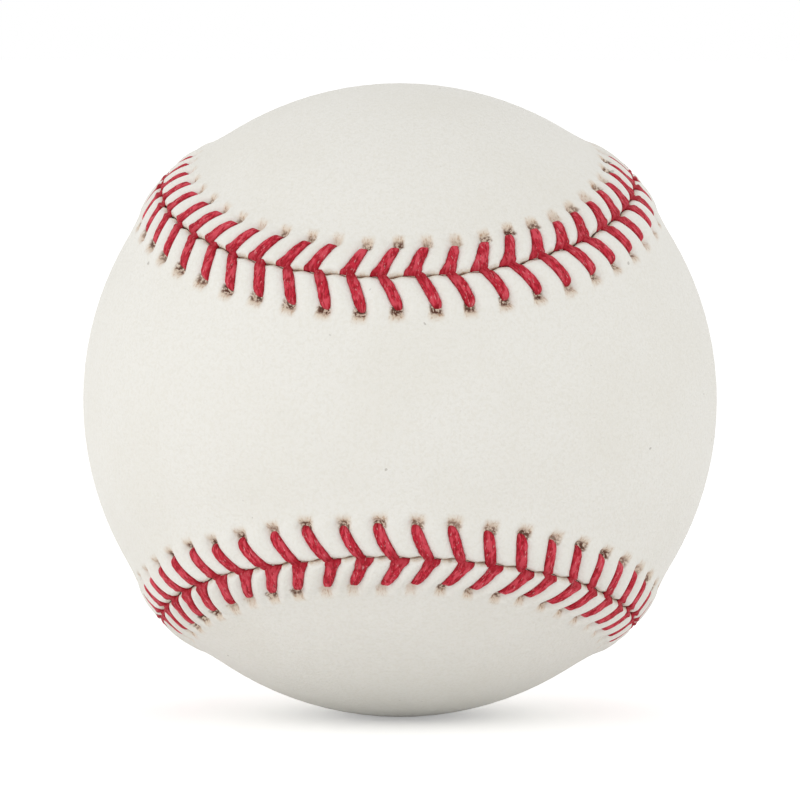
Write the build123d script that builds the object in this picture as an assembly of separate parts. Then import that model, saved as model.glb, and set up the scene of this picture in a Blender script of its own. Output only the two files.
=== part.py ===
from build123d import *
import math
import os

# A hand-sewn baseball: a cork and rubber pill, four windings and two figure-eight
# cowhide panels that meet in one raised seam, sewn with a row of red thread stitches
# on each side. Millimetres. The origin is the middle of the ball and +Z is up.
# The waist of the front panel faces -Y and its lobes lie at -X and +X. The waist of
# the rear panel faces +Y and its lobes lie at the top and the bottom.

# Pill and windings, from the middle outwards
cork_diameter = 20.6
inner_rubber_wall = 3.2
gasket_thickness = 1.0
outer_rubber_wall = 3.2
first_winding_wall = 14.65
second_winding_wall = 1.75
third_winding_wall = 2.3
finish_winding_wall = 0.5

# Leather cover, with lengths measured over the plain leather
leather_thickness = 1.3
neck_width = 32.0
bend_radius = 29.4
bend_half_turn = 60.0
seam_gap = 0.1

# Raised seam, measured from the crack between the panels
seam_rise = 0.9
seam_foot = 8.5
lip_width = 0.9
lip_drop = 0.6

# Stitches
stitch_count = 108
stitch_reach = 4.0
stitch_lean = 2.3
stitch_stagger = 0.4
thread_width = 1.32
thread_thickness = 0.5
thread_clearance = 0.06
crack_clearance = 0.15
leg_depth = 0.9

# Every cutting shape runs this far past what it cuts
overrun = 1.0

# Radii of the layers
cork_radius = cork_diameter / 2
inner_rubber_radius = cork_radius + inner_rubber_wall
pill_radius = inner_rubber_radius + outer_rubber_wall
first_winding_radius = pill_radius + first_winding_wall
second_winding_radius = first_winding_radius + second_winding_wall
third_winding_radius = second_winding_radius + third_winding_wall
wound_radius = third_winding_radius + finish_winding_wall
ball_radius = wound_radius + leather_thickness

centre = Vector(0, 0, 0)
lean_angle = math.atan2(stitch_lean, stitch_reach)


# Layers of the ball
def hollow_ball(inner_radius, outer_radius):
    return Sphere(outer_radius) - Sphere(inner_radius)


def inner_rubber():
    """Two rubber cups round the cork, and the flat washer between their rims."""
    shell = hollow_ball(cork_radius, inner_rubber_radius)
    width = 2 * (inner_rubber_radius + overrun)
    gasket = shell & Box(width, gasket_thickness, width)
    side = Pos(0, (gasket_thickness + width) / 2, 0)
    rear_cup = shell & side * Box(width, width, width)
    front_cup = shell & side.inverse() * Box(width, width, width)
    return front_cup, rear_cup, gasket


# The seam is a closed run of tangent arcs of small circles, three arcs to a lobe
def spin(direction, axis, degrees):
    return direction.rotate(Axis(centre, axis), degrees)


def next_lobe(direction):
    """The seam's own symmetry: each lobe is the one before it, turned and mirrored."""
    return Vector(direction.Z, -direction.Y, -direction.X)


def across_ball(direction):
    return Vector(-direction.X, direction.Y, direction.Z)


def first_lobe():
    """The arcs round the rear panel's upper lobe: first direction, axis and turn of each."""
    neck = neck_width / 2 / ball_radius
    bend = neck + bend_radius / ball_radius
    waist = Vector(0, -math.cos(neck), math.sin(neck))
    bend_axis = Vector(0, -math.cos(bend), math.sin(bend))
    bend_end = spin(waist, bend_axis, bend_half_turn)
    crossing = Vector(1, 0, 1).normalized()
    inward = (bend_axis - bend_end * bend_axis.dot(bend_end)).normalized()
    reach = math.atan2(1 - bend_end.dot(crossing), inward.dot(crossing))
    side_axis = bend_end * math.cos(reach) + inward * math.sin(reach)
    from_axis = bend_end - side_axis * bend_end.dot(side_axis)
    to_axis = crossing - side_axis * crossing.dot(side_axis)
    side_turn = from_axis.get_angle(to_axis)
    return [
        (across_ball(crossing), across_ball(side_axis), side_turn),
        (across_ball(bend_end), bend_axis, 2 * bend_half_turn),
        (bend_end, side_axis, side_turn),
    ]


def seam_arcs():
    """All the arcs in order, with the front panel to the right of the way along them."""
    lobe = first_lobe()
    arcs = []
    for _ in range(4):
        arcs += lobe
        lobe = [(next_lobe(start), -next_lobe(axis), turn) for start, axis, turn in lobe]
    return arcs


def arc_length(start, axis, turn):
    return math.radians(turn) * ball_radius * start.cross(axis).length


def stitch_planes(shift):
    """A plane for each stitch: X along the seam, Y over the rear panel and Z outwards."""
    arcs = seam_arcs()
    pitch = sum(arc_length(*arc) for arc in arcs) / stitch_count
    stations = [(number + 1 / 2) * pitch + shift for number in range(stitch_count)]
    planes = []
    passed = 0
    for start, axis, turn in arcs:
        length = arc_length(start, axis, turn)
        for station in stations:
            if passed <= station < passed + length:
                outward = spin(start, axis, turn * (station - passed) / length)
                planes.append(Plane(outward * ball_radius, axis.cross(outward), outward))
        passed += length
    return planes


# Profile of the raised seam: a rounded lip, a crown as far as the needle holes, and a foot
foot_angle = 2 * math.atan2(seam_rise, seam_foot - lip_width)
crown_radius = (stitch_reach - lip_width) / math.sin(foot_angle)
foot_radius = (seam_foot - stitch_reach) / math.sin(foot_angle)
lip_radius = (lip_width**2 + lip_drop**2) / (2 * lip_drop)


def drop(run, radius):
    return radius - math.sqrt(radius**2 - run**2)


def leather_height(across):
    """Height of the leather over the plain ball, at a distance from the crack."""
    if across > stitch_reach:
        return drop(seam_foot - across, foot_radius)
    radius = crown_radius if across > lip_width else lip_radius
    return seam_rise - drop(across - lip_width, radius)


def section_point(outward, sideways, across, height):
    angle = across / ball_radius
    return (outward * math.cos(angle) + sideways * math.sin(angle)) * (ball_radius + height)


def profile_arcs(stops, lift, outward, sideways):
    """Arcs that follow the leather at a height above it, from one stop to the next."""
    arcs = []
    for first, last in zip(stops, stops[1:]):
        places = (first, (first + last) / 2, last)
        heights = [leather_height(place) + lift for place in places]
        points = [section_point(outward, sideways, *spot) for spot in zip(places, heights)]
        arcs.append(Edge.make_three_point_arc(*points))
    return arcs


# Leather panels
def rail(radius, across):
    """The seam moved over the front panel, as a closed wire on a ball of one radius."""
    edges = []
    for start, axis, turn in seam_arcs():
        sideways = (start * axis.dot(start) - axis).normalized()
        first = section_point(start, sideways, across, radius - ball_radius)
        points = [spin(first, axis, turn * turn_share) for turn_share in (0, 1 / 2, 1)]
        edges.append(Edge.make_three_point_arc(*points))
    return Wire(edges)


def field(radius, across):
    """The part of a ball's surface that the front panel covers, inside a rail."""
    surface = (Rot(0, 0, 90) * Sphere(radius)).face()
    return surface.split_by_perimeter(rail(radius, across), Keep.INSIDE)


def panel_edge():
    """The cut edge of the front panel and its swollen lip, turned round each arc's axis."""
    half_gap = seam_gap / 2
    stops = (half_gap, lip_width, stitch_reach, seam_foot)
    faces = []
    for start, axis, turn in seam_arcs():
        sideways = (start * axis.dot(start) - axis).normalized()
        heel = section_point(start, sideways, half_gap, -leather_thickness)
        brow = section_point(start, sideways, half_gap, leather_height(half_gap))
        profile = [Edge.make_line(heel, brow)] + profile_arcs(stops, 0, start, sideways)
        faces += Shell.revolve(Wire(profile), turn, Axis(centre, axis)).faces()
    return faces


def needle_hole():
    """A slit through the leather, round the leg of one stitch of the front panel."""
    length = thread_width / math.cos(lean_angle) + thread_thickness * math.tan(lean_angle)
    depth = leather_thickness + seam_rise + 2 * overrun
    slit = Box(length + 2 * thread_clearance, thread_thickness + 2 * thread_clearance, depth)
    tilt = Rot(math.degrees(stitch_reach / ball_radius), 0, 0)
    return Pos(0, 0, -ball_radius) * tilt * Pos(stitch_lean / 2, 0, ball_radius) * slit


def front_panel(shift):
    """The front panel without what is punched out of its needle holes, which move along the seam."""
    faces = panel_edge()
    faces += [field(ball_radius, seam_foot), field(wound_radius, seam_gap / 2)]
    hole = needle_hole()
    punched = Solid(Shell(faces)).cut(*[plane.location * hole for plane in stitch_planes(shift)])
    return punched.solids().sort_by(SortBy.VOLUME)[-1]


# Stitches
def arm_side_view():
    """One thread of the front panel seen along the seam, with its middle over the crack's middle."""
    outward = Vector(0, 0, 1)
    sideways = Vector(0, -1, 0)
    near = stitch_reach - thread_thickness / 2
    far = stitch_reach + thread_thickness / 2
    sill = leather_height(stitch_reach)
    stops = (crack_clearance, lip_width, near)
    under = profile_arcs(stops, thread_clearance, outward, sideways)
    over = profile_arcs(stops, thread_clearance + thread_thickness, outward, sideways)
    near_toe = section_point(outward, sideways, near, sill - leg_depth)
    far_toe = section_point(outward, sideways, far, sill - leg_depth)
    shoulder = section_point(outward, sideways, far, sill + thread_clearance)
    leg = [under[-1] @ 1, near_toe, far_toe, shoulder, over[-1] @ 1]
    edges = under + over + [Edge.make_line(*ends) for ends in zip(leg, leg[1:])]
    edges.append(Edge.make_line(under[0] @ 0, over[0] @ 0))
    return Face(Wire(edges))


def stitch_arm():
    """A flat thread from the crack over the lip and the crown, and down into its needle hole."""
    span = stitch_lean + thread_width + overrun
    ribbon = Solid.extrude(arm_side_view().moved(Pos(-span, 0, -ball_radius)), Vector(2 * span, 0, 0))
    length = 2 * (math.hypot(stitch_lean, stitch_reach) + overrun)
    lean = Rot(0, 0, math.degrees(lean_angle))
    slab = Pos(0, -stitch_reach / 2, 0) * lean * Box(thread_width, length, length)
    return (ribbon & slab).solid()


def front_stitches(shift):
    arm = stitch_arm()
    return Compound([plane.location * arm for plane in stitch_planes(shift)])


def rear_twin(piece):
    """A piece of the front panel, turned and mirrored to the same place on the rear one."""
    return Rot(0, 90, 0) * piece.mirror(Plane.XZ)


# The pieces of the ball
front_cup, rear_cup, gasket = inner_rubber()
pieces = {
    "cork_core": Sphere(cork_radius),
    "inner_shell_front": front_cup,
    "inner_shell_rear": rear_cup,
    "equator_gasket": gasket,
    "outer_rubber_shell": hollow_ball(inner_rubber_radius, pill_radius),
    "first_winding": hollow_ball(pill_radius, first_winding_radius),
    "second_winding": hollow_ball(first_winding_radius, second_winding_radius),
    "third_winding": hollow_ball(second_winding_radius, third_winding_radius),
    "finish_winding": hollow_ball(third_winding_radius, wound_radius),
    "cover_panel_front": front_panel(stitch_stagger),
    "cover_panel_rear": rear_twin(front_panel(-stitch_stagger)),
    "stitches_front": front_stitches(stitch_stagger),
    "stitches_rear": rear_twin(front_stitches(-stitch_stagger)),
}

os.makedirs("parts", exist_ok=True)
for name, piece in pieces.items():
    export_step(piece, f"parts/{name}.step")
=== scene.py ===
import math

import bmesh
import bpy
import numpy as np
from mathutils import Matrix, Vector


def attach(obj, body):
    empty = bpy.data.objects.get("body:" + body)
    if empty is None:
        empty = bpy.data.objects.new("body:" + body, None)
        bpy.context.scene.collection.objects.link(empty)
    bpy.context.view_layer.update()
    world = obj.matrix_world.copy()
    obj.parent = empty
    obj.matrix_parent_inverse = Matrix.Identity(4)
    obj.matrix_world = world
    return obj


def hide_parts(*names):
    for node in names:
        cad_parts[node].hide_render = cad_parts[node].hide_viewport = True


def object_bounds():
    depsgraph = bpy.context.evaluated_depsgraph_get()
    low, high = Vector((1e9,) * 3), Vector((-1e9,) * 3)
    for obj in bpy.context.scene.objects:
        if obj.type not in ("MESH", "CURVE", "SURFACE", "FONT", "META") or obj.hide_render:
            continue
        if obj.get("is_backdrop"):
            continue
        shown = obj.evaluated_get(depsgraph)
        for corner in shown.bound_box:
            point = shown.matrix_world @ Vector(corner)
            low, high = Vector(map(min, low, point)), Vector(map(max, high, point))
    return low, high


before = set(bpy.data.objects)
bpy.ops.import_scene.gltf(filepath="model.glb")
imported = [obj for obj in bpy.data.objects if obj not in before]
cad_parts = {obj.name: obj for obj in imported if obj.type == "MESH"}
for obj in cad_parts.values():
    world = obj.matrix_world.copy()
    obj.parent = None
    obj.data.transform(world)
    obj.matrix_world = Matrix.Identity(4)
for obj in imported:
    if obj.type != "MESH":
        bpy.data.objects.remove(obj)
cad_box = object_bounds()

# The looks of a hand-sewn baseball. Sizes are in millimetres and angles in radians, and
# points become metres where a mesh, a lamp or the camera is made.
millimetre = 0.001
FRONT = 1
REAR = -1

# Leather cover and its seam, as in the solids
ball_radius = 37.2
leather_thickness = 1.3
neck_width = 32.0
bend_radius = 29.4
bend_half_turn = math.radians(60)
half_gap = 0.05
seam_rise = 0.9
seam_foot = 8.5
lip_width = 0.9
lip_drop = 0.6

# Stitches: count, reach, width and stagger as in the solids, and how far they stray by hand
stitch_count = 108
stitch_reach = 4.0
thread_width = 1.32
stagger = 0.4
station_stray = 0.19
reach_stray = 0.2
lean_stray = 0.25
width_stray = 0.09
bow_stray_share = 0.2

# How each side's stitches lean and bow: the middle value, and how far it sways along the seam
leans = {FRONT: (1.6, 0.6), REAR: (1.9, 0.3)}
bow_shares = {FRONT: (0.35, 0.4), REAR: (0.0, 0.8)}

# How much more soil each side's needle holes hold beside the front panel's neck
soil_shares = {FRONT: 0.6, REAR: 0.05}

# How the threads shape the leather
press_depth = 0.46
groove_half_width = 0.5
bulge_height = 0.14
pit_depth = 0.4
pit_radius = 0.5
pucker_height = 0.06
pucker_length = 0.8
pucker_count = 7

# How the crack wavers and gapes, with its waves round the whole seam and their phases
crack_waves = ((17, 1), (29, 2), (47, 0))
crack_waver = 0.04
lip_swell = 0.13
lip_swell_reach = 0.9
gape_width = 0.1
gape_length = 0.55
gape_ahead = 0.6

# Threads, a little thinner than the solids
thread_thickness = 0.46
crossing_reach = 0.38
crack_dive = 0.25
hole_dive = 0.9
dive_length = 0.45
round_lengths = {FRONT: 1.2, REAR: 1.8}
tip_length = 1.3
wedge_length = 1.5
end_width_share = 0.3
tip_width_share = 0.7
wedge_share = 0.35
edge_waves = (2, 5)
edge_waver_share = 0.02
crown_power = 3
strand_count = 5
strand_depth = 0.045
strand_length = 3.5
thread_sink = 0.05

# How finely the meshes follow the seam
columns_per_stitch = 20
column_step = 4
lip_rows = 9
crown_rows = 22
foot_rows = 7
wall_rows = 3
field_rows = 10
lining_rows = 5
fine_end = 5.2
foot_end = 9.2
arm_rows = 30
ring_top = 20
ring_under = 5
end_crowding_share = 0.08
weld_gap = 0.001

# Numbers at each point that the paint reads by name, far off where no needle hole is near
leather_guides = ("ahead", "beside", "outward", "across", "seed", "dirt")
thread_guides = ("length", "aside", "seed", "share", "place")
far_off = 100.0

# Colours
white = (1, 1, 1, 1)
leather_white = (0.80, 0.785, 0.735, 1)
leather_warm = (0.74, 0.715, 0.64, 1)
leather_raw = (0.74, 0.56, 0.45, 1)
leather_tan = (0.62, 0.435, 0.26, 1)
leather_brown = (0.38, 0.185, 0.075, 1)
# Near black: soil, and painted shade in the needle holes' slits and the cork's gaps
soil_and_shade = (0.11, 0.04, 0.022, 1)
grime = (0.30, 0.27, 0.23, 1)
thread_red = (0.55, 0.022, 0.045, 1)
# Deep red: the darker fibres' own colour, and painted shade at the threads' edges and crack ends
thread_deep_and_shade = (0.30, 0.006, 0.014, 1)
thread_light = (0.66, 0.075, 0.105, 1)
# Pale pink of painted glints on the waxed thread's fibres
thread_glint = (0.82, 0.42, 0.42, 1)
cork_light = (0.45, 0.27, 0.13, 1)
cork_dark = (0.20, 0.10, 0.045, 1)
rubber_black = (0.018, 0.018, 0.019, 1)
rubber_grey = (0.06, 0.06, 0.062, 1)
rubber_red = (0.32, 0.035, 0.025, 1)
rubber_dusty = (0.40, 0.12, 0.09, 1)
# Grey wool's own colour, also painted as shade between white strands; a darker grey painted as shade
# between grey strands
wool_grey_and_shade = (0.28, 0.27, 0.26, 1)
wool_groove_shade = (0.09, 0.085, 0.08, 1)
wool_white = (0.72, 0.69, 0.62, 1)
cotton_white = (0.80, 0.78, 0.72, 1)
floor_grey = (0.97, 0.97, 0.97, 1)

# Patterns that fill space: cells to the metre, and layers of detail
patterns = {
    "blots": (3000.0, 2.0),
    "grain": (2600.0, 3.0),
    "mottle": (90.0, 4.0),
    "specks": (800.0, 1.0),
    "wrinkles": (700.0, 3.0),
    "cork_gap_shade": (900.0, 3.0),
    "rubber_dust": (160.0, 5.0),
    "rubber_grain": (1500.0, 3.0),
    "yarn_drift": (40.0, 1.0),
    "yarn_fuzz": (4000.0, 4.0),
}
cork_cells = 650.0

# Patterns on a thread: cells to the millimetre along and across it, a shift, layers, roughness
thread_patterns = {
    "fibres": (1.7, 6.0, 0.0, 4.0, 0.6),
    "plies": (0.8, 2.4, 0.0, 2.0, 0.5),
    "glint_flecks": (2.0, 6.0, 7.0, 2.0, 0.5),
}
fibre_slant_share = 0.22
fibre_jump = 60.0

# Streaks at a needle hole: where they meet behind it, cells to the radian and to the
# millimetre, how far apart in the pattern two holes lie, and layers
streak_origin = 1.4
streak_turn_cells = 11.0
streak_length_cells = 1.2
streak_jump = 90.0
streak_layers = 3.0

# Stains at a needle hole and at the crack, and soil with painted shade in each hole's slit: none at the
# first place and full at the second
fan_shift = 0.25
fan_half_width = 0.7
fan_flare_share = 0.12
fan_width_shares = (1.3, 0.5)
fan_start = (-0.7, -0.3)
fan_end = (1.6, 0.4)
slit_half_width = (0.8, 0.4)
slit_start = (-0.8, -0.4)
slit_end = (0.7, 0.2)
lip_stain = (0.5, 0.05)
raw_edge = (0.0, -0.15)

# Masks: none where a pattern or a guide has the first share and full where it has the second
fan_dirt_shares = (-0.9, 0.9)
slit_dirt_shares = (0.15, 1.0)
slit_blot_shares = (0.38, 0.54)
torn_shares = (0.84, 1.08)
lip_blot_shares = (0.25, 0.75)
pore_shares = (0.56, 0.36)
mottle_shares = (0.40, 0.75)
speck_shares = (0.79, 0.82)
fibre_shares = (0.40, 0.58)
ply_shares = (0.46, 0.60)
glint_fleck_shares = (0.61, 0.72)
rim_shade_shares = (0.6, 1.0)
vertex_press_and_shade_shares = (0.35, 0.0)
cork_gap_shade_shares = (0.62, 0.7)
rubber_dust_shares = (0.45, 0.8)
yarn_shares = (0.2, 1.1)

# How much of its colour each coat adds at most
coat_shares = {
    "mottle": 0.3,
    "pores": 0.42,
    "specks": 0.5,
    "fan": 0.55,
    "torn": 0.75,
    "lip": 0.6,
    "plies": 0.9,
    "glint_flecks": 0.55,
    "vertex_press_and_shade": 0.5,
    "rim": 0.45,
}

# How much of one pattern is added to another
torn_blot_share = 0.7
wrinkle_share = 0.8
fuzz_share = 0.5

# Finish of each material
bump_heights = {"leather": 0.12, "thread": 0.12, "cork": 0.3, "rubber": 0.05, "yarn": 0.4}
bump_shares = {"leather": 0.8, "thread": 0.8, "cork": 0.6, "rubber": 0.4, "yarn": 0.8}
roughness_shares = {"thread": 0.6, "cork": 0.85, "rubber": 0.7, "yarn": 0.95}
specular_shares = {"leather": 0.3, "thread": 0.15}
grain_shares = (0.3, 0.7)
leather_roughness_shares = (0.5, 0.62)
yarn_sheen_share = 0.3

# Wound yarn: gauges, and rings round a place off the ball's middle, which drift
grey_wool_gauge = 1.4
white_wool_gauge = 1.2
cotton_gauge = 0.5
ring_scale_share = 0.16
ring_shift = (30.0, 20.0, 10.0)
ring_drift = 8.0

# Camera, as far off as twenty ball radii, and the photo's frame
view_turn = math.radians(-2.08)
view_tilt = math.radians(3.28)
view_roll = math.radians(0.18)
view_distance = 744.0
ball_pixels = 317
frame_pixels = 800
sensor_width = 36.0

# Studio light: a white room, and broad lamps given by place, size and power in watts
world_light = 0.84
lamps = {
    "left": ((-900.0, -700.0, 100.0), 800.0, 2.7),
    "far_left": ((-1200.0, -100.0, 0.0), 900.0, 2.1),
    "right": ((1100.0, -350.0, 150.0), 1200.0, 2.7),
    "front": ((0.0, -1100.0, 40.0), 500.0, 0.85),
}
floor_reach = 20000.0
floor_lift = 0.32


# Seam: a closed run of tangent arcs of small circles, three arcs to a lobe
def unit(vector):
    return vector / np.linalg.norm(vector, axis=-1, keepdims=True)


def spin(direction, axis, angles):
    """A direction turned about an axis, by one angle or by each of several."""
    angles = np.asarray(angles)[..., None]
    along = axis * axis.dot(direction)
    return along + (direction - along) * np.cos(angles) + np.cross(axis, direction) * np.sin(angles)


def next_lobe(directions):
    """The seam's own symmetry: each lobe is the one before it, turned and mirrored."""
    return np.stack([directions[..., 2], -directions[..., 1], -directions[..., 0]], axis=-1)


def first_lobe():
    """The arcs round the rear panel's upper lobe: first direction, axis and turn of each."""
    neck = neck_width / 2 / ball_radius
    bend = neck + bend_radius / ball_radius
    waist = np.array([0, -math.cos(neck), math.sin(neck)])
    bend_axis = np.array([0, -math.cos(bend), math.sin(bend)])
    bend_end = spin(waist, bend_axis, bend_half_turn)
    crossing = unit(np.array([1, 0, 1]))
    inward = unit(bend_axis - bend_end * bend_axis.dot(bend_end))
    reach = math.atan2(1 - bend_end.dot(crossing), inward.dot(crossing))
    side_axis = bend_end * math.cos(reach) + inward * math.sin(reach)
    from_axis = unit(bend_end - side_axis * bend_end.dot(side_axis))
    to_axis = unit(crossing - side_axis * crossing.dot(side_axis))
    side_turn = math.acos(from_axis.dot(to_axis))
    across_ball = np.array([-1, 1, 1])
    return [
        (across_ball * crossing, across_ball * side_axis, side_turn),
        (across_ball * bend_end, bend_axis, 2 * bend_half_turn),
        (bend_end, side_axis, side_turn),
    ]


def seam_arcs():
    """All the arcs in order, with the front panel to the right of the way along them."""
    lobe = first_lobe()
    found = []
    for _ in range(4):
        found += lobe
        lobe = [(next_lobe(start), -next_lobe(axis), turn) for start, axis, turn in lobe]
    return found


arcs = seam_arcs()
arc_spreads = np.array([math.acos(start.dot(axis)) for start, axis, turn in arcs])
arc_lengths = np.array([turn for start, axis, turn in arcs]) * np.sin(arc_spreads) * ball_radius
arc_starts = np.cumsum(arc_lengths) - arc_lengths
seam_length = arc_lengths.sum()
pitch = seam_length / stitch_count


def seam_frames(along):
    """Outward and forward directions at places along the seam, and the angle to each arc's axis."""
    along = np.mod(along, seam_length)
    which = np.searchsorted(arc_starts, along, side="right") - 1
    outward = np.empty(along.shape + (3,))
    forward = np.empty(along.shape + (3,))
    for number, (start, axis, _) in enumerate(arcs):
        here = which == number
        radius_share = math.sin(arc_spreads[number])
        turned = (along[here] - arc_starts[number]) / (ball_radius * radius_share)
        outward[here] = spin(start, axis, turned)
        forward[here] = np.cross(axis, outward[here]) / radius_share
    return outward, forward, arc_spreads[which]


def seam_points(along, across, height):
    """Points at a distance over the front panel, or over the rear one where it is negative."""
    outward, forward = seam_frames(along)[:2]
    angle = (across / ball_radius)[..., None]
    direction = outward * np.cos(angle) + np.cross(forward, outward) * np.sin(angle)
    return direction * (ball_radius + height)[..., None]


def stretch_share(along, across):
    """How much longer the seam's line is at a distance over the front panel than at the crack."""
    spread = seam_frames(along)[2]
    return np.sin(spread + across / ball_radius) / np.sin(spread)


def smooth(value, low, high):
    share = np.clip((value - low) / (high - low), 0, 1)
    return share * share * (3 - 2 * share)


# Sewing: where each stitch lies and how it leans, drawn once for each side
def draw_sewing(side, generator):
    def stray(middle, most):
        return middle + most * generator.uniform(-1, 1, stitch_count)

    stations = (np.arange(stitch_count) + 1 / 2) * pitch
    from_neck = 4 * math.pi * (stations / seam_length - 1 / 8)
    sway = np.sin(from_neck)
    lean, lean_sway = leans[side]
    bow, bow_sway = bow_shares[side]
    sewn = {
        "station": stray(stations + side * stagger, station_stray),
        "reach": stray(stitch_reach, reach_stray),
        "lean": stray(lean + lean_sway * sway, lean_stray),
        "width": stray(thread_width, width_stray),
        "bow": stray(bow + bow_sway * sway, bow_stray_share),
        "seed": generator.uniform(0, 1, stitch_count),
    }
    sewn["dirt"] = sewn["seed"] + soil_shares[side] * np.cos(from_neck)
    return sewn


generator = np.random.default_rng(stitch_count)
sewing = {FRONT: draw_sewing(FRONT, generator), REAR: draw_sewing(REAR, generator)}


def arm_middle(sewn, stitch, across):
    """How far ahead of its station a stitch's middle lies, at a distance from the crack."""
    share = np.minimum(across / sewn["reach"][stitch], 1)
    return sewn["lean"][stitch] * (share + sewn["bow"][stitch] * share * (1 - share) - 1 / 2)


# Leather: the raised seam, pressed in by the threads and swollen between them
foot_angle = 2 * math.atan2(seam_rise, seam_foot - lip_width)
crown_radius = (stitch_reach - lip_width) / math.sin(foot_angle)
foot_radius = (seam_foot - stitch_reach) / math.sin(foot_angle)
lip_radius = (lip_width**2 + lip_drop**2) / (2 * lip_drop)


def drop(run, radius):
    return radius - np.sqrt(np.maximum(radius**2 - run**2, 0))


def ridge_height(across):
    """Height of the raised seam as in the solids: a rounded lip, a crown and a foot."""
    foot = drop(np.clip(seam_foot - across, 0, seam_foot - stitch_reach), foot_radius)
    crown = seam_rise - drop(across - lip_width, crown_radius)
    lip = seam_rise - drop(across - lip_width, lip_radius)
    return np.where(across > stitch_reach, foot, np.where(across > lip_width, crown, lip))


def nearby_stitches(side, along, across):
    """The numbers of the three nearest stitches, and how far ahead of their stations places lie."""
    stations = sewing[side]["station"]
    cell = np.floor(along / pitch - side * stagger / pitch).astype(int)
    scale_share = stretch_share(along, side * across)
    for step in (-1, 0, 1):
        stitch = (cell + step) % stitch_count
        ahead = along - stations[stitch] + seam_length / 2
        yield stitch, (np.mod(ahead, seam_length) - seam_length / 2) * scale_share


def hole_guide(side, along, across):
    """Places among the needle holes: a count that is whole at each, the way past, and the nearest."""
    sewn = sewing[side]
    holes = sewn["station"] + sewn["lean"] / 2 / stretch_share(sewn["station"], side * sewn["reach"])
    holes = np.concatenate([holes[-1:] - seam_length, holes, holes[:1] + seam_length])
    count = np.interp(np.mod(along, seam_length), holes, np.arange(-1, stitch_count + 1))
    before = np.floor(count).astype(int) % stitch_count
    after = np.ceil(count).astype(int) % stitch_count
    share = np.mod(count, 1)
    reach = sewn["reach"][before] * (1 - share) + sewn["reach"][after] * share
    return count, across - reach, np.round(count).astype(int) % stitch_count


def leather_height(side, along, across):
    """Height of the leather over the plain ball."""
    nearest = np.full(along.shape, pitch)
    for stitch, ahead in nearby_stitches(side, along, across):
        nearest = np.minimum(nearest, np.abs(ahead - arm_middle(sewing[side], stitch, across)))
    swell_share = np.clip((nearest - groove_half_width) / (pitch / 2 - groove_half_width), 0, 1)
    swell = (press_depth + bulge_height) * np.sin(math.pi / 2 * swell_share) - press_depth
    hold_share = smooth(across, 0, lip_width) * (1 - smooth(across, stitch_reach, fine_end))
    count, outward, hole = hole_guide(side, along, across)
    aside = (count - np.round(count)) * pitch
    far = np.hypot(aside, outward)
    pit_share = np.exp(-((far / pit_radius) ** 2))
    phase = 2 * math.pi * sewing[side]["seed"][hole]
    pucker_share = np.cos(pucker_count * np.arctan2(aside, outward) + phase)
    pucker_share *= np.exp(-far / pucker_length) * smooth(outward, 0, pit_radius)
    height = ridge_height(across) + hold_share * swell
    return height - pit_depth * pit_share + pucker_height * pucker_share


def crack_shift(along):
    """How far the crack strays towards the rear panel: the front lip swells between its stitches."""
    turn = 2 * math.pi * along / seam_length
    waver = sum(np.sin(count * turn + phase) for count, phase in crack_waves)
    beat = np.cos(2 * math.pi * (along - stagger + leans[FRONT][0] / 2) / pitch - math.pi)
    return crack_waver * waver - lip_swell * beat


def crack_gape(along):
    """How far each lip draws back from the crack, in the mouth of each pair of stitches."""
    ahead = np.mod(along - gape_ahead, pitch) - pitch / 2
    return gape_width * np.exp(-((ahead / gape_length) ** 2))


def leather_points(side, along, across, height):
    """Points at a distance from the crack over one side's panel, moved as the crack wavers and gapes."""
    near_share = np.exp(-np.abs(across) / lip_swell_reach)
    shift = crack_shift(along) - side * np.sign(across) * crack_gape(along)
    return seam_points(along, side * across - shift * near_share, height)


# Mesh helpers
def add_piece(name, points, faces):
    mesh = bpy.data.meshes.new(name)
    mesh.from_pydata((points * millimetre).tolist(), [], faces)
    piece = bpy.data.objects.new(name, mesh)
    bpy.context.scene.collection.objects.link(piece)
    return piece


def add_guides(piece, names, values):
    for name, column in zip(names, values.T):
        attribute = piece.data.attributes.new(name, "FLOAT", "POINT")
        attribute.data.foreach_set("value", column.astype(np.float32))


def close_mesh(piece):
    """Welds points that coincide, turns every face outwards and shades it smooth."""
    work = bmesh.new()
    work.from_mesh(piece.data)
    bmesh.ops.remove_doubles(work, verts=work.verts, dist=weld_gap * millimetre)
    bmesh.ops.recalc_face_normals(work, faces=work.faces)
    for face in work.faces:
        face.smooth = True
    work.to_mesh(piece.data)
    work.free()


def ring_faces(rings):
    """Faces between rings of point numbers, with a step of fine points to each coarse one."""
    faces = []
    for first, last in zip(rings, rings[1:]):
        if len(first) == len(last):
            faces += np.stack([first, last, np.roll(last, -1), np.roll(first, -1)], axis=-1).tolist()
            continue
        fine, coarse = (first, last) if len(first) > len(last) else (last, first)
        for number in range(len(coarse)):
            run = [int(fine[(number * column_step + step) % len(fine)]) for step in range(column_step + 1)]
            faces.append(run + [int(coarse[(number + 1) % len(coarse)]), int(coarse[number])])
    return faces


# Leather panels
lobe_turn = math.pi - (neck_width / 2 + bend_radius) / ball_radius


def panel_spine(side, along):
    """Where each column of a panel ends: along its spine, or at a lobe's centre round the lobe."""
    start = along - seam_length / 8 - (seam_length / 4 if side == REAR else 0)
    way = np.mod(start + seam_length / 2, seam_length) - seam_length / 2
    run = seam_length / 8 + arc_lengths[0]
    share = np.minimum(np.minimum(np.abs(way), seam_length / 2 - np.abs(way)) / run, 1)
    turn = lobe_turn * share * np.sign(way)
    spine = np.stack([np.sin(turn), -np.cos(turn), np.zeros(turn.shape)], axis=-1)
    return next_lobe(spine) if side == REAR else spine


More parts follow.
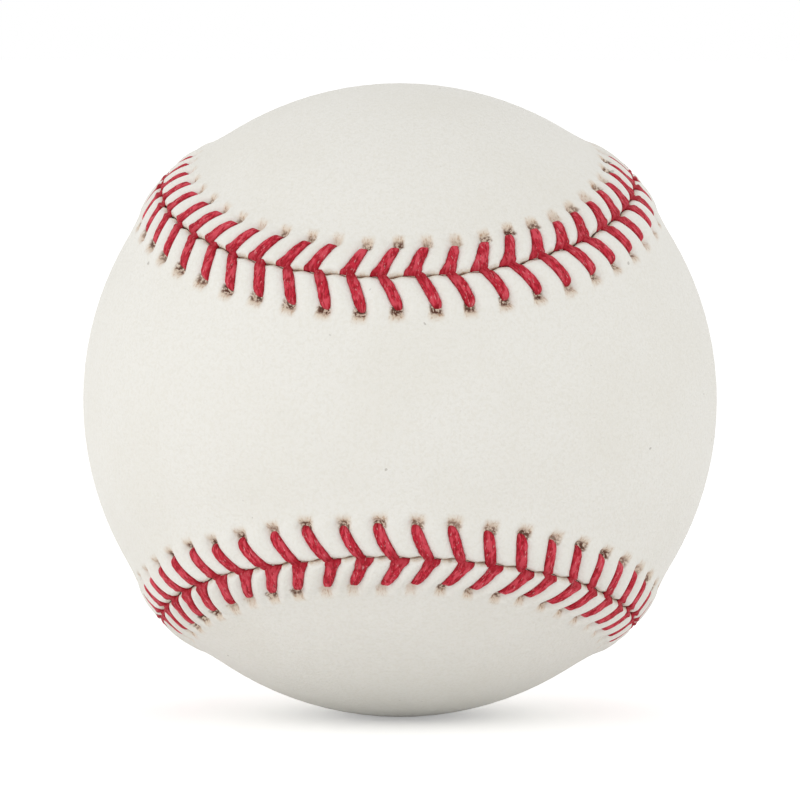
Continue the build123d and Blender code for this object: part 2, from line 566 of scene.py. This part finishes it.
def arc_between(first, last, share, radius):
    """Points on a ball, a share of the way from one set of directions to another."""
    first = unit(first)
    last = unit(last)
    angle = np.arccos(np.clip((first * last).sum(axis=-1, keepdims=True), -1, 1))
    return radius * (first * np.sin((1 - share) * angle) + last * np.sin(share * angle)) / np.sin(angle)


def surface_ring(side, columns, stop):
    """One ring of a panel's outer surface at a distance from the crack, with its paint guides."""
    across = np.full(columns.shape, stop)
    points = leather_points(side, columns, across, leather_height(side, columns, across))
    count, outward, hole = hole_guide(side, columns, across)
    turn = 2 * math.pi * (count + side * fan_shift / pitch)
    own = [sewing[side]["seed"][hole], sewing[side]["dirt"][hole]]
    return points, np.stack([np.cos(turn), np.sin(turn), outward, across] + own, axis=-1)


def panel_rings(side):
    """Rings from the lining's middle over the edge to the panel's middle, with their paint guides."""
    columns = np.arange(stitch_count * columns_per_stitch) * pitch / columns_per_stitch
    coarse = columns[::column_step]
    same = np.ones(coarse.shape)
    spine = panel_spine(side, coarse)
    rim = leather_points(side, coarse, half_gap * same, -leather_thickness * same)
    foot = leather_points(side, coarse, foot_end * same, 0 * same)
    off = far_off * same

    rings = []
    for step in range(lining_rows, 0, -1):
        points = arc_between(rim, spine, step / lining_rows, ball_radius - leather_thickness)
        rings.append((points, np.stack([off] * 3 + [-off] * 3, axis=-1)))
    edge = np.full(columns.shape, half_gap)
    wall_top = leather_height(side, columns, edge)
    for step in range(wall_rows):
        height = (wall_top + leather_thickness) * step / wall_rows - leather_thickness
        points = leather_points(side, columns, edge, height)
        guides = [np.full(columns.shape, far_off)] * 3 + [height - wall_top] * 3
        rings.append((points, np.stack(guides, axis=-1)))
    stops = [np.linspace(half_gap, lip_width, lip_rows)]
    stops.append(np.linspace(lip_width, fine_end, crown_rows + 1)[1:])
    stops.append(np.linspace(fine_end, foot_end, foot_rows + 1)[1:])
    rings += [surface_ring(side, columns, stop) for stop in np.concatenate(stops)]
    for step in range(1, field_rows + 1):
        points = arc_between(foot, spine, step / field_rows, ball_radius)
        rings.append((points, np.stack([off] * len(leather_guides), axis=-1)))
    return rings


def leather_panel(side, name):
    points, guides = zip(*panel_rings(side))
    counts = np.cumsum([0] + [len(ring) for ring in points])
    numbers = [np.arange(start, end) for start, end in zip(counts, counts[1:])]
    piece = add_piece(name, np.concatenate(points), ring_faces(numbers))
    add_guides(piece, leather_guides, np.concatenate(guides))
    close_mesh(piece)
    return piece


# Threads
def thread_rows():
    """Shares of the way from a thread's crack end to its needle hole, closer at both ends."""
    even = np.linspace(0, 1, arm_rows)
    return even - end_crowding_share * np.sin(2 * math.pi * even)


def rounding(from_end, length, end_share):
    """How wide a thread is near a rounded end, against its full width."""
    gone = np.clip(1 - from_end / length, 0, 1)
    return np.sqrt(1 - (1 - end_share**2) * gone**2)


def arm_half_width(side, stitch, across, start, slope):
    """Half a thread's width along the seam: it wavers, and is rounded or wedged at its ends."""
    sewn = sewing[side]
    reach = sewn["reach"][stitch]
    half_width = sewn["width"][stitch] / 2 * np.sqrt(1 + slope**2)
    turn = 2 * math.pi * (np.clip(across / reach, 0, 1) + sewn["seed"][stitch])
    half_width = half_width * (1 + edge_waver_share * sum(np.sin(count * turn) for count in edge_waves))
    half_width = half_width * rounding(reach - across, round_lengths[side], end_width_share)
    if side == FRONT:
        return half_width * rounding(across - start, tip_length, tip_width_share)
    return half_width * (1 + wedge_share * (1 - smooth(across, start, start + wedge_length)))


def arm_height(side, along, across, place, length):
    """Height of a thread: its rounded top with its strands, or its underside, on the leather."""
    lay = leather_height(side, along, np.maximum(across, 0))
    lay = np.where(across < 0, leather_height(-side, along, np.maximum(-across, 0)), lay)
    strand = np.abs(np.sin(math.pi * (strand_count * (place + 1) / 2 + length / strand_length)))
    crown = np.sqrt(1 - np.abs(place) ** crown_power)
    rise = thread_thickness * crown + strand_depth * (strand - 1) * crown
    is_top = np.arange(ring_top + ring_under) < ring_top
    return lay + np.where(is_top, rise, -thread_sink)


def thread_arms(side):
    """Points of all the arms of one side, row by row and ring by ring, with their paint guides."""
    sewn = sewing[side]
    stitch = np.arange(stitch_count)[:, None, None]
    reach = sewn["reach"][stitch]
    start = -crossing_reach if side == FRONT else half_gap
    toe = reach + pit_radius / 4
    across = start + (toe - start) * thread_rows()[None, :, None]
    top = np.linspace(-1, 1, ring_top)
    under = np.linspace(1, -1, ring_under + 2)[1:-1]
    place = np.concatenate([top, under])[None, None, :]

    share = np.clip(across / reach, 0, 1)
    slope = sewn["lean"][stitch] / reach * (1 + sewn["bow"][stitch] * (1 - 2 * share))
    length = across * np.sqrt(1 + slope**2)
    into_hole = smooth(across, reach - dive_length, toe)
    into_crack = 1 - smooth(across, start, start + dive_length)
    aside = arm_half_width(side, stitch, across, start, slope) * place
    ahead = arm_middle(sewn, stitch, across) + aside
    across = np.broadcast_to(across, ahead.shape)
    along = sewn["station"][stitch] + ahead
    along = sewn["station"][stitch] + ahead / stretch_share(along, side * across)

    dive = hole_dive * into_hole + crack_dive * into_crack
    height = arm_height(side, along, across, place, length) - dive
    points = leather_points(side, along, across, height)
    guides = np.broadcast_arrays(length, aside, sewn["seed"][stitch], share, place)
    return points, np.stack(guides, axis=-1)


def thread_faces():
    """Faces of one arm: a tube of rings and a cap at each end."""
    count = ring_top + ring_under
    rings = [np.arange(row * count, (row + 1) * count) for row in range(arm_rows)]
    return ring_faces(rings) + [rings[0].tolist(), rings[-1][::-1].tolist()]


def thread_row(side, name):
    points, guides = thread_arms(side)
    arm_faces = thread_faces()
    size = arm_rows * (ring_top + ring_under)
    faces = [[number + arm * size for number in face] for arm in range(stitch_count) for face in arm_faces]
    piece = add_piece(name, points.reshape(-1, 3), faces)
    add_guides(piece, thread_guides, guides.reshape(-1, len(thread_guides)))
    close_mesh(piece)
    return piece


# Material helpers
def connect(tree, socket, item):
    if isinstance(item, bpy.types.NodeSocket):
        tree.links.new(item, socket)
    else:
        socket.default_value = item


def add_node(tree, kind, settings=None, **inputs):
    """A node with its settings, and its inputs by name, each a value or another node's output."""
    node = tree.nodes.new(kind)
    for key, setting in (settings or {}).items():
        setattr(node, key, setting)
    for key, item in inputs.items():
        connect(tree, node.inputs[key.replace("_", " ")], item)
    return node


def calculate(tree, operation, *items):
    node = tree.nodes.new("ShaderNodeMath")
    node.operation = operation
    for socket, item in zip(node.inputs, items):
        connect(tree, socket, item)
    return node.outputs[0]


def overlap(tree, *masks):
    """Masks multiplied together."""
    result = masks[0]
    for mask in masks[1:]:
        result = calculate(tree, "MULTIPLY", result, mask)
    return result


def map_range(tree, settings, *items):
    node = add_node(tree, "ShaderNodeMapRange", settings)
    for socket, item in zip(node.inputs, items):
        connect(tree, socket, item)
    return node.outputs[0]


def ramp(tree, item, ends):
    """From 0 to 1 as a value goes from the first end to the second, whichever is larger."""
    return map_range(tree, {"interpolation_type": "SMOOTHSTEP"}, item, *ends)


def blend(tree, share, first, second):
    """One colour mixed into another. The mix node's sockets for colours come after its others."""
    node = add_node(tree, "ShaderNodeMix", {"data_type": "RGBA"})
    connect(tree, node.inputs[0], share)
    connect(tree, node.inputs[6], first)
    connect(tree, node.inputs[7], second)
    return node.outputs[2]


def coat(tree, name, mask, under, colour):
    """A coat of colour over another, as thick as its mask and its own share say."""
    return blend(tree, calculate(tree, "MULTIPLY", mask, coat_shares[name]), under, colour)


def object_place(tree):
    return tree.nodes.new("ShaderNodeTexCoord").outputs["Object"]


def noise(tree, place, cells, layers, **more):
    node = add_node(tree, "ShaderNodeTexNoise", Vector=place, Scale=cells, Detail=layers, **more)
    return node.outputs["Fac"]


def pattern(tree, name):
    return noise(tree, object_place(tree), *patterns[name])


def guide(tree, name):
    return add_node(tree, "ShaderNodeAttribute", {"attribute_name": name}).outputs["Fac"]


def triple(tree, first, second, third):
    return add_node(tree, "ShaderNodeCombineXYZ", X=first, Y=second, Z=third).outputs["Vector"]


def new_material(name):
    material = bpy.data.materials.new(name)
    material.use_nodes = True
    return material, material.node_tree, material.node_tree.nodes["Principled BSDF"]


def bump(tree, shader, height, kind):
    distance = bump_heights[kind] * millimetre
    node = add_node(tree, "ShaderNodeBump", Height=height, Distance=distance, Strength=bump_shares[kind])
    tree.links.new(node.outputs["Normal"], shader.inputs["Normal"])


# Leather paint
def hole_streaks(tree, aside, outward):
    """Streaks that fan out from each needle hole."""
    bearing = calculate(tree, "ARCTAN2", aside, calculate(tree, "ADD", outward, streak_origin))
    across_streak = calculate(tree, "MULTIPLY", bearing, streak_turn_cells)
    along_streak = calculate(tree, "MULTIPLY", outward, streak_length_cells)
    own = calculate(tree, "MULTIPLY", guide(tree, "seed"), streak_jump)
    return noise(tree, triple(tree, across_streak, along_streak, own), 1, streak_layers)


def hole_stains(tree, blots):
    """Masks of the fan of stain at each needle hole, its torn fibres, and the soil with painted shade in
    its slit.
    """
    outward = guide(tree, "outward")
    dirt = guide(tree, "dirt")
    turn = calculate(tree, "ARCTAN2", guide(tree, "beside"), guide(tree, "ahead"))
    aside = calculate(tree, "MULTIPLY", turn, pitch / (2 * math.pi))
    near = calculate(tree, "ABSOLUTE", aside)
    half_width = calculate(tree, "MULTIPLY_ADD", outward, fan_flare_share, fan_half_width)
    fan = overlap(
        tree,
        ramp(tree, calculate(tree, "DIVIDE", near, half_width), fan_width_shares),
        ramp(tree, outward, fan_start),
        ramp(tree, outward, fan_end),
        ramp(tree, dirt, fan_dirt_shares),
    )
    streaks = hole_streaks(tree, aside, outward)
    tatter = calculate(tree, "MULTIPLY_ADD", blots, torn_blot_share, streaks)
    torn = overlap(tree, fan, ramp(tree, tatter, torn_shares))
    slit_soil_and_shade = overlap(
        tree,
        ramp(tree, near, slit_half_width),
        ramp(tree, outward, slit_start),
        ramp(tree, outward, slit_end),
        ramp(tree, blots, slit_blot_shares),
        ramp(tree, dirt, slit_dirt_shares),
    )
    return fan, torn, slit_soil_and_shade


def leather_material():
    material, tree, shader = new_material("cowhide")
    across = guide(tree, "across")
    blots = pattern(tree, "blots")
    grain = pattern(tree, "grain")
    mottle = ramp(tree, pattern(tree, "mottle"), mottle_shares)
    pores = ramp(tree, grain, pore_shares)
    specks = ramp(tree, pattern(tree, "specks"), speck_shares)
    fan, torn, slit_soil_and_shade = hole_stains(tree, blots)
    lip = overlap(tree, ramp(tree, across, lip_stain), ramp(tree, blots, lip_blot_shares))

    colour = coat(tree, "mottle", mottle, leather_white, leather_warm)
    colour = coat(tree, "pores", pores, colour, leather_warm)
    colour = coat(tree, "specks", specks, colour, grime)
    colour = coat(tree, "fan", fan, colour, leather_tan)
    colour = coat(tree, "torn", torn, colour, leather_brown)
    # The needle hole's slit: soil, with painted shade of the hole
    colour = blend(tree, slit_soil_and_shade, colour, soil_and_shade)
    colour = coat(tree, "lip", lip, colour, leather_tan)
    colour = blend(tree, ramp(tree, across, raw_edge), colour, leather_raw)
    tree.links.new(colour, shader.inputs["Base Color"])

    height = calculate(tree, "MULTIPLY_ADD", pattern(tree, "wrinkles"), wrinkle_share, grain)
    bump(tree, shader, height, "leather")
    rough = map_range(tree, {}, grain, *grain_shares, *leather_roughness_shares)
    tree.links.new(rough, shader.inputs["Roughness"])
    shader.inputs["Specular IOR Level"].default_value = specular_shares["leather"]
    return material


# Thread paint
def thread_pattern(tree, name):
    """A pattern drawn out along each thread, at the slant of its twist."""
    along_cells, across_cells, shift, layers, roughness = thread_patterns[name]
    length = guide(tree, "length")
    slant = calculate(tree, "MULTIPLY_ADD", length, fibre_slant_share, guide(tree, "aside"))
    own = calculate(tree, "MULTIPLY_ADD", guide(tree, "seed"), fibre_jump, shift)
    along = calculate(tree, "MULTIPLY", length, along_cells)
    across = calculate(tree, "MULTIPLY", slant, across_cells)
    return noise(tree, triple(tree, along, across, own), 1, layers, Roughness=roughness)


def thread_material():
    material, tree, shader = new_material("red_thread")
    fibres = thread_pattern(tree, "fibres")
    plies = ramp(tree, thread_pattern(tree, "plies"), ply_shares)
    glint_flecks = ramp(tree, thread_pattern(tree, "glint_flecks"), glint_fleck_shares)
    vertex_press_and_shade = ramp(tree, guide(tree, "share"), vertex_press_and_shade_shares)
    rim = ramp(tree, calculate(tree, "ABSOLUTE", guide(tree, "place")), rim_shade_shares)

    colour = blend(tree, ramp(tree, fibres, fibre_shares), thread_deep_and_shade, thread_red)
    colour = coat(tree, "plies", plies, colour, thread_light)
    # Pale flecks: painted glints on the waxed fibres
    colour = coat(tree, "glint_flecks", glint_flecks, colour, thread_glint)
    # Darker towards the crack end: the thread pressed together there, with painted shade where it dives
    # into the crack
    colour = coat(tree, "vertex_press_and_shade", vertex_press_and_shade, colour, thread_deep_and_shade)
    # Darker towards both edges of each thread: painted shade on its rounded sides
    colour = coat(tree, "rim", rim, colour, thread_deep_and_shade)
    tree.links.new(colour, shader.inputs["Base Color"])
    bump(tree, shader, fibres, "thread")
    shader.inputs["Roughness"].default_value = roughness_shares["thread"]
    shader.inputs["Specular IOR Level"].default_value = specular_shares["thread"]
    return material


# Paint of the inner pieces
def cork_material():
    material, tree, shader = new_material("cork")
    cells = add_node(tree, "ShaderNodeTexVoronoi", Vector=object_place(tree), Scale=cork_cells)
    tone = add_node(tree, "ShaderNodeSeparateColor", Color=cells.outputs["Color"]).outputs[0]
    colour = blend(tree, tone, cork_light, cork_dark)
    # Painted shade in the gaps between the cork's granules
    gap_shade = ramp(tree, pattern(tree, "cork_gap_shade"), cork_gap_shade_shares)
    tree.links.new(blend(tree, gap_shade, colour, soil_and_shade), shader.inputs["Base Color"])
    bump(tree, shader, cells.outputs["Distance"], "cork")
    shader.inputs["Roughness"].default_value = roughness_shares["cork"]
    return material


def rubber_material(name, colour, bloom):
    material, tree, shader = new_material(name)
    dust = ramp(tree, pattern(tree, "rubber_dust"), rubber_dust_shares)
    tree.links.new(blend(tree, dust, colour, bloom), shader.inputs["Base Color"])
    bump(tree, shader, pattern(tree, "rubber_grain"), "rubber")
    shader.inputs["Roughness"].default_value = roughness_shares["rubber"]
    return material


def yarn_material(name, colour, groove_shade, gauge):
    """Yarn wound round in every direction: threads that cross, with fuzz between them and painted shade in
    the grooves between them.
    """
    material, tree, shader = new_material(name)
    drift = calculate(tree, "MULTIPLY", pattern(tree, "yarn_drift"), ring_drift)
    moved = add_node(tree, "ShaderNodeVectorMath", {"operation": "ADD"})
    connect(tree, moved.inputs[0], object_place(tree))
    connect(tree, moved.inputs[1], Vector(ring_shift) * millimetre)
    turns = add_node(
        tree,
        "ShaderNodeTexWave",
        {"wave_type": "RINGS", "rings_direction": "SPHERICAL"},
        Vector=moved.outputs[0],
        Scale=ring_scale_share / (gauge * millimetre),
        Distortion=drift,
    )
    strand = calculate(tree, "MULTIPLY_ADD", pattern(tree, "yarn_fuzz"), fuzz_share, turns.outputs["Fac"])
    # Lower places between the strands get the darker colour: painted shade
    tree.links.new(blend(tree, ramp(tree, strand, yarn_shares), groove_shade, colour), shader.inputs["Base Color"])
    bump(tree, shader, strand, "yarn")
    shader.inputs["Roughness"].default_value = roughness_shares["yarn"]
    shader.inputs["Sheen Weight"].default_value = yarn_sheen_share
    return material


def dress_inside():
    """Gives each inner piece its material."""
    cork = cork_material()
    black_rubber = rubber_material("black_rubber", rubber_black, rubber_grey)
    red_rubber = rubber_material("red_rubber", rubber_red, rubber_dusty)
    grey_wool = yarn_material("grey_wool", wool_grey_and_shade, wool_groove_shade, grey_wool_gauge)
    white_wool = yarn_material("white_wool", wool_white, wool_grey_and_shade, white_wool_gauge)
    white_cotton = yarn_material("white_cotton", cotton_white, wool_grey_and_shade, cotton_gauge)
    dress = {
        "cork_core": cork,
        "inner_shell_front": black_rubber,
        "inner_shell_rear": black_rubber,
        "equator_gasket": red_rubber,
        "outer_rubber_shell": red_rubber,
        "first_winding": grey_wool,
        "second_winding": white_wool,
        "third_winding": grey_wool,
        "finish_winding": white_cotton,
    }
    for node, material in dress.items():
        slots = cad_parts[node].data.materials
        slots.clear()
        slots.append(material)


# Camera, light and floor
def rotation(angle, axis):
    return Matrix.Rotation(angle, 4, axis)


def add_camera():
    camera = bpy.data.objects.new("camera", bpy.data.cameras.new("camera"))
    bpy.context.scene.collection.objects.link(camera)
    turn = rotation(view_turn, "Z") @ rotation(view_tilt, "X") @ rotation(view_roll, "Y")
    back = Matrix.Translation((0, -view_distance * millimetre, 0))
    camera.matrix_world = turn.transposed() @ back @ rotation(math.pi / 2, "X")
    focal_pixels = ball_pixels * math.sqrt((view_distance / ball_radius) ** 2 - 1)
    camera.data.sensor_width = sensor_width
    camera.data.lens = focal_pixels / frame_pixels * sensor_width
    bpy.context.scene.camera = camera


def add_lamp(name, place, size, power):
    lamp = bpy.data.lights.new(name, "AREA")
    lamp.size = size * millimetre
    lamp.energy = power
    holder = bpy.data.objects.new(name, lamp)
    bpy.context.scene.collection.objects.link(holder)
    holder.visible_camera = False
    holder.location = Vector(place) * millimetre
    holder.rotation_euler = (-holder.location).to_track_quat("-Z", "Y").to_euler()


def seen_plainly(tree):
    """1 for what the camera or a reflection sees or glass lets through, 0 for light on the object."""
    path = tree.nodes.new("ShaderNodeLightPath")
    seen = calculate(tree, "MAXIMUM", path.outputs["Is Camera Ray"], path.outputs["Is Glossy Ray"])
    return calculate(tree, "MAXIMUM", seen, path.outputs["Is Transmission Ray"])


def light_world():
    """A room that looks white and lights the ball at its own level."""
    world = bpy.data.worlds.new("studio")
    bpy.context.scene.world = world
    world.use_nodes = True
    tree = world.node_tree
    background = tree.nodes["Background"]
    background.inputs["Color"].default_value = white
    strength = map_range(tree, {}, seen_plainly(tree), 0, 1, world_light, 1)
    tree.links.new(strength, background.inputs["Strength"])


def add_floor():
    corners = np.array([[-1, -1], [1, -1], [1, 1], [-1, 1]]) * floor_reach
    points = np.column_stack([corners, np.full(len(corners), -ball_radius)])
    floor = add_piece("floor", points, [[0, 1, 2, 3]])
    material, tree, shader = new_material("floor")
    shader.inputs["Base Color"].default_value = floor_grey
    shader.inputs["Roughness"].default_value = 1
    shader.inputs["Specular IOR Level"].default_value = 0
    shader.inputs["Emission Color"].default_value = white
    lift = calculate(tree, "MULTIPLY", seen_plainly(tree), floor_lift)
    tree.links.new(lift, shader.inputs["Emission Strength"])
    floor.data.materials.append(material)
    floor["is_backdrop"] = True


# The ball in its studio
cowhide = leather_material()
red_thread = thread_material()
for side, word in ((FRONT, "front"), (REAR, "rear")):
    panel = leather_panel(side, "leather_" + word)
    panel.data.materials.append(cowhide)
    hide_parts("cover_panel_" + word)
    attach(panel, "root")
    thread = thread_row(side, "thread_" + word)
    thread.data.materials.append(red_thread)
    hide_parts("stitches_" + word)
    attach(thread, "root")

dress_inside()
add_camera()
light_world()
for name, lamp in lamps.items():
    add_lamp(name, *lamp)
add_floor()
bpy.context.scene.view_settings.view_transform = "Standard"

boxes = {"cad": cad_box, "visual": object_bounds()}
{key: [[float(number) for number in corner] for corner in box] for key, box in boxes.items()}
